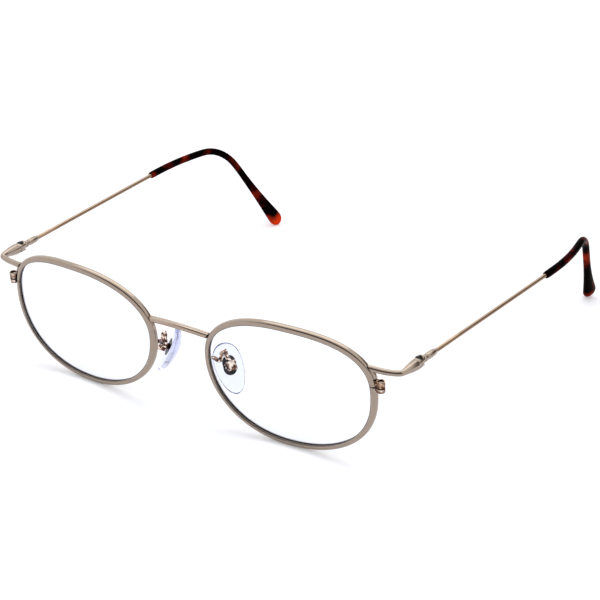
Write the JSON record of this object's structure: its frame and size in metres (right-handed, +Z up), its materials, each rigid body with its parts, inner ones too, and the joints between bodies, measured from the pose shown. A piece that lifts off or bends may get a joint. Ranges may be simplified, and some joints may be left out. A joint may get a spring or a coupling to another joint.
{
  "type": "reading glasses",
  "caption": "Thin metal full-rim reading glasses standing open, with folding wire temples, curved tortoiseshell ear tips, clear lenses and rocking clear nose pads.",
  "frame": {"origin": "middle of the bounding box, on the table that the open glasses stand on", "axes": "+X to the wearer's left, -Y the way the wearer looks, +Z up with the front standing on its rims"},
  "size_m": [0.1433, 0.143, 0.0377],
  "materials": {
    "champagne_plate": "bright plated",
    "temple_plate": "bright plated",
    "gold_plate": "bright plated",
    "insert_metal": "satin",
    "tip_acetate": "polished tortoiseshell",
    "lens_resin": "polished clear",
    "pad_silicone": "clear soft"
  },
  "bodies": {
    "front": {"rim_left": "champagne_plate", "rim_right": "champagne_plate", "lens_left": "lens_resin", "lens_right": "lens_resin", "bridge": "champagne_plate", "end_piece_left": "champagne_plate", "end_piece_right": "champagne_plate", "hinge_cheeks_left": "champagne_plate", "hinge_cheeks_right": "champagne_plate", "hinge_screw_left": "gold_plate", "hinge_screw_right": "gold_plate", "closing_block_upper_left": "champagne_plate", "closing_block_upper_right": "champagne_plate", "closing_block_lower_left": "champagne_plate", "closing_block_lower_right": "champagne_plate", "closing_screw_left": "gold_plate", "closing_screw_right": "gold_plate", "pad_arm_left": "gold_plate", "pad_arm_right": "gold_plate", "pad_box_left": "gold_plate", "pad_box_right": "gold_plate", "pad_screw_left": "gold_plate", "pad_screw_right": "gold_plate"},
    "temple_left": {"temple_joint_left": "champagne_plate", "temple_wire_left": "temple_plate", "temple_tip_left": "tip_acetate"},
    "temple_right": {"temple_joint_right": "champagne_plate", "temple_wire_right": "temple_plate", "temple_tip_right": "tip_acetate"},
    "pad_left": {"nose_pad_left": "pad_silicone", "pad_insert_left": "insert_metal"},
    "pad_right": {"nose_pad_right": "pad_silicone", "pad_insert_right": "insert_metal"}
  },
  "joints": [
    {"name": "temple_left_fold", "type": "hinge", "parent": "front", "child": "temple_left", "pos_m": [0.0664, -0.05594, 0.0301], "axis": [0, 0, 1], "range_deg": [0, 90]},
    {"name": "temple_right_fold", "type": "hinge", "parent": "front", "child": "temple_right", "pos_m": [-0.0664, -0.05594, 0.0301], "axis": [0, 0, -1], "range_deg": [0, 84]},
    {"name": "pad_left_rock", "type": "hinge", "parent": "front", "child": "pad_left", "pos_m": [0.0114, -0.06064, 0.0155], "axis": [0.5994, 0.7888, 0.1359], "range_deg": [-10, 10]},
    {"name": "pad_right_rock", "type": "hinge", "parent": "front", "child": "pad_right", "pos_m": [-0.0114, -0.06064, 0.0155], "axis": [-0.5994, 0.7888, 0.1359], "range_deg": [-10, 10]}
  ]
}
